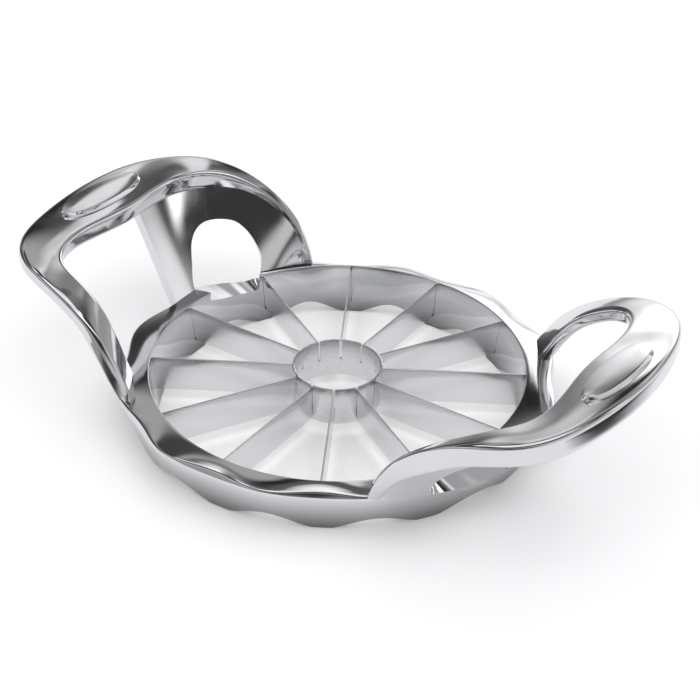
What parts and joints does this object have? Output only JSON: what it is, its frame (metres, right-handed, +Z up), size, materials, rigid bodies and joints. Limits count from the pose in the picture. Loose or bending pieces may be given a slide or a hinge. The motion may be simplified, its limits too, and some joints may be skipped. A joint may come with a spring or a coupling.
{
  "type": "apple slicer",
  "caption": "Hand slicer for round fruit: a cast ring on small feet carries radial blades and a coring tube, and two looped swirl grips rise above it for pressing it straight down.",
  "frame": {"origin": "centre of the cutting ring, on the plane of the feet's soles", "axes": "+Z up, towards the grips; +X along the longest extent, towards one grip; -Y towards the side where that grip's arm leaves the ring"},
  "size_m": [0.1806, 0.1402, 0.0453],
  "materials": {
    "cast_metal": "cast zinc alloy, satin polished and plated",
    "blade_steel": "thin stainless strip with a ground cutting edge",
    "core_steel": "rolled stainless tube with a ground cutting edge"
  },
  "bodies": {
    "root": {"frame": "cast_metal", "blade_01": "blade_steel", "blade_02": "blade_steel", "blade_03": "blade_steel", "blade_04": "blade_steel", "blade_05": "blade_steel", "blade_06": "blade_steel", "blade_07": "blade_steel", "blade_08": "blade_steel", "blade_09": "blade_steel", "blade_10": "blade_steel", "blade_11": "blade_steel", "blade_12": "blade_steel", "core_ring": "core_steel"}
  },
  "joints": []
}
